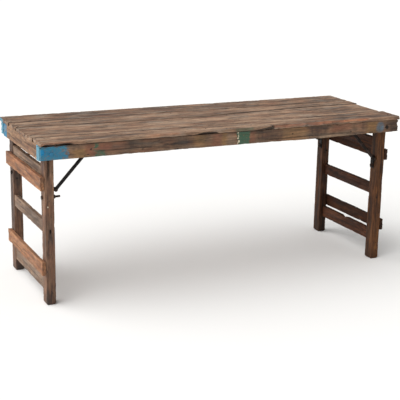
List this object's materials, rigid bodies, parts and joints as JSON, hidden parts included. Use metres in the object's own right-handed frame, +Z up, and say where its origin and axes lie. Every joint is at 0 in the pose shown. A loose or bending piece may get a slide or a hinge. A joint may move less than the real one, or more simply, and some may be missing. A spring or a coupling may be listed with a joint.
{
  "type": "folding table",
  "caption": "Rustic folding table: plank top on a shallow frame, ladder leg frames that fold in under it, and diagonal iron stays hooked below the planks.",
  "frame": {"origin": "on the floor under the middle of the top", "axes": "+X along the table to its right end, +Y from the front edge to the back edge, +Z up"},
  "size_m": [1.88, 0.656, 0.76],
  "materials": {
    "top_planks": "weathered",
    "rail_wood": "weathered, patches of old paint",
    "end_board_wood": "weathered",
    "leg_wood": "worn",
    "crossboard_wood": "worn",
    "nail_iron": "rusted",
    "black_iron": "forged, blackened"
  },
  "bodies": {
    "tabletop": {"back_rail": "rail_wood", "front_rail": "rail_wood", "hook_screws": "nail_iron", "left_back_hook": "black_iron", "left_batten": "end_board_wood", "left_end_board": "end_board_wood", "left_front_hook": "black_iron", "leg_pivot_bolts": "black_iron", "leg_pivot_nuts": "black_iron", "leg_pivot_washers": "black_iron", "plank_back": "top_planks", "plank_front": "top_planks", "plank_middle_back": "top_planks", "plank_middle_front": "top_planks", "rail_nails": "nail_iron", "right_back_hook": "black_iron", "right_batten": "end_board_wood", "right_end_board": "end_board_wood", "right_front_hook": "black_iron", "top_nails": "nail_iron"},
    "left_leg_frame": {"left_back_bracket": "black_iron", "left_back_post": "leg_wood", "left_bracket_bolts": "black_iron", "left_bracket_nuts": "black_iron", "left_crossboard_nails": "nail_iron", "left_front_bracket": "black_iron", "left_front_post": "leg_wood", "left_lower_crossboard": "crossboard_wood", "left_lower_rung": "leg_wood", "left_middle_rung": "leg_wood", "left_stay_rivets": "black_iron", "left_upper_crossboard": "crossboard_wood", "left_upper_rail": "leg_wood"},
    "right_leg_frame": {"right_back_bracket": "black_iron", "right_back_post": "leg_wood", "right_bracket_bolts": "black_iron", "right_bracket_nuts": "black_iron", "right_crossboard_nails": "nail_iron", "right_front_bracket": "black_iron", "right_front_post": "leg_wood", "right_lower_crossboard": "crossboard_wood", "right_lower_rung": "leg_wood", "right_middle_rung": "leg_wood", "right_stay_rivets": "black_iron", "right_upper_crossboard": "crossboard_wood", "right_upper_rail": "leg_wood"},
    "left_front_stay": {"left_front_stay": "black_iron"},
    "left_back_stay": {"left_back_stay": "black_iron"},
    "right_front_stay": {"right_front_stay": "black_iron"},
    "right_back_stay": {"right_back_stay": "black_iron"}
  },
  "joints": [
    {"name": "left_leg_fold", "type": "hinge", "parent": "tabletop", "child": "left_leg_frame", "pos_m": [-0.884, 0, 0.707], "axis": [0, -1, 0], "range_deg": [0, 83]},
    {"name": "left_front_stay_swing", "type": "hinge", "parent": "left_leg_frame", "child": "left_front_stay", "pos_m": [-0.8515, -0.272, 0.535], "axis": [0, 1, 0], "range_deg": [0, 137.49]},
    {"name": "left_back_stay_swing", "type": "hinge", "parent": "left_leg_frame", "child": "left_back_stay", "pos_m": [-0.8515, 0.272, 0.535], "axis": [0, 1, 0], "range_deg": [0, 137.49]},
    {"name": "right_leg_fold", "type": "hinge", "parent": "tabletop", "child": "right_leg_frame", "pos_m": [0.868, 0, 0.707], "axis": [0, 1, 0], "range_deg": [0, 86]},
    {"name": "right_front_stay_swing", "type": "hinge", "parent": "right_leg_frame", "child": "right_front_stay", "pos_m": [0.8355, -0.272, 0.535], "axis": [0, -1, 0], "range_deg": [0, 137.49]},
    {"name": "right_back_stay_swing", "type": "hinge", "parent": "right_leg_frame", "child": "right_back_stay", "pos_m": [0.8355, 0.272, 0.535], "axis": [0, -1, 0], "range_deg": [0, 137.49]}
  ],
  "couplings": [
    {"joint": "left_front_stay_swing", "follows": "left_leg_fold", "ratio": 1.6559},
    {"joint": "left_back_stay_swing", "follows": "left_leg_fold", "ratio": 1.6559},
    {"joint": "right_front_stay_swing", "follows": "right_leg_fold", "ratio": 1.5981},
    {"joint": "right_back_stay_swing", "follows": "right_leg_fold", "ratio": 1.5981}
  ]
}
